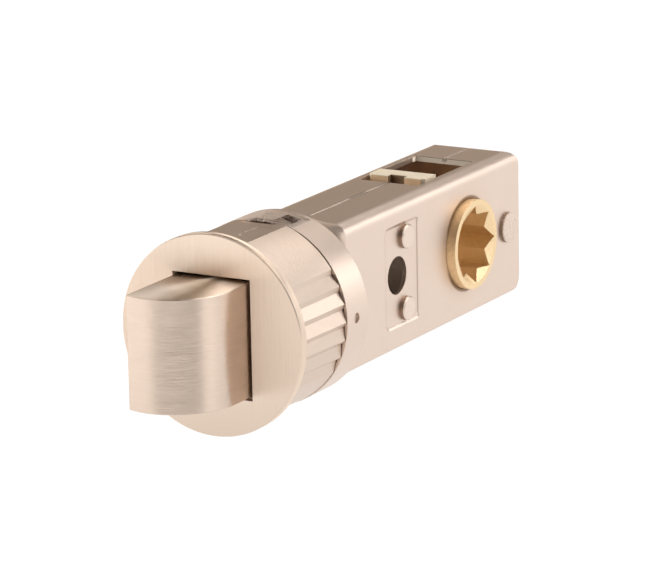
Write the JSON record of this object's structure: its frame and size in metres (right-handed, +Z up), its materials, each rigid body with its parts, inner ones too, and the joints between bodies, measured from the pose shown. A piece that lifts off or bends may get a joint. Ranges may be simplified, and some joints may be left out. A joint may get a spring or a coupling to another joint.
{
  "type": "mortice latch",
  "caption": "Tubular mortice latch: a sprung D-shaped bolt in a round ribbed barrel, on a narrow folded case with a star-bore spindle hub that draws the bolt in.",
  "frame": {"origin": "centre of the face disc's front plane", "axes": "+Y runs into the door along the case, the bolt points to -Y, +Z is up, X is the spindle's axis"},
  "size_m": [0.0264, 0.0845, 0.0264],
  "materials": {
    "case_nickel": "satin nickel plated sheet, warm",
    "satin_nickel": "satin nickel, upright brushing",
    "barrel_nickel": "satin nickel plated casting",
    "bolt_nickel": "satin nickel, cross brushed",
    "rivet_nickel": "plated rivet head",
    "crossbar_metal": "sheared and dull",
    "dark_steel": "dull steel",
    "spring_steel": "drawn wire",
    "hub_brass": "machined brass"
  },
  "bodies": {
    "case": {"case": "case_nickel", "face_disc": "satin_nickel", "barrel_sleeve": "barrel_nickel", "collar_pin_right": "dark_steel", "collar_pin_left": "dark_steel", "bolt_spring": "spring_steel", "spring_guide": "dark_steel", "stop_plate": "dark_steel", "guide_plate": "dark_steel", "front_rivet_upper": "rivet_nickel", "front_rivet_lower": "rivet_nickel", "front_spacer_upper": "dark_steel", "front_spacer_lower": "dark_steel", "rear_rivet": "rivet_nickel", "rear_spacer": "dark_steel"},
    "bolt": {"latch_bolt": "bolt_nickel", "bolt_yoke": "dark_steel", "yoke_pin": "dark_steel", "crossbar_upper": "crossbar_metal", "crossbar_lower": "crossbar_metal"},
    "hub": {"latch_hub": "hub_brass"}
  },
  "joints": [
    {"name": "bolt_slide", "type": "slide", "parent": "case", "child": "bolt", "axis": [0, 1, 0], "range_m": [0, 0.0105], "stiffness_N_per_m": 500, "springref_m": -0.008, "deforming": ["bolt_spring"]},
    {"name": "hub_turn", "type": "hinge", "parent": "case", "child": "hub", "pos_m": [0, 0.057, 0], "axis": [-1, 0, 0], "range_deg": [0, 65]}
  ],
  "couplings": [
    {"joint": "hub_turn", "follows": "bolt_slide", "rad_per_m": 107.81}
  ]
}
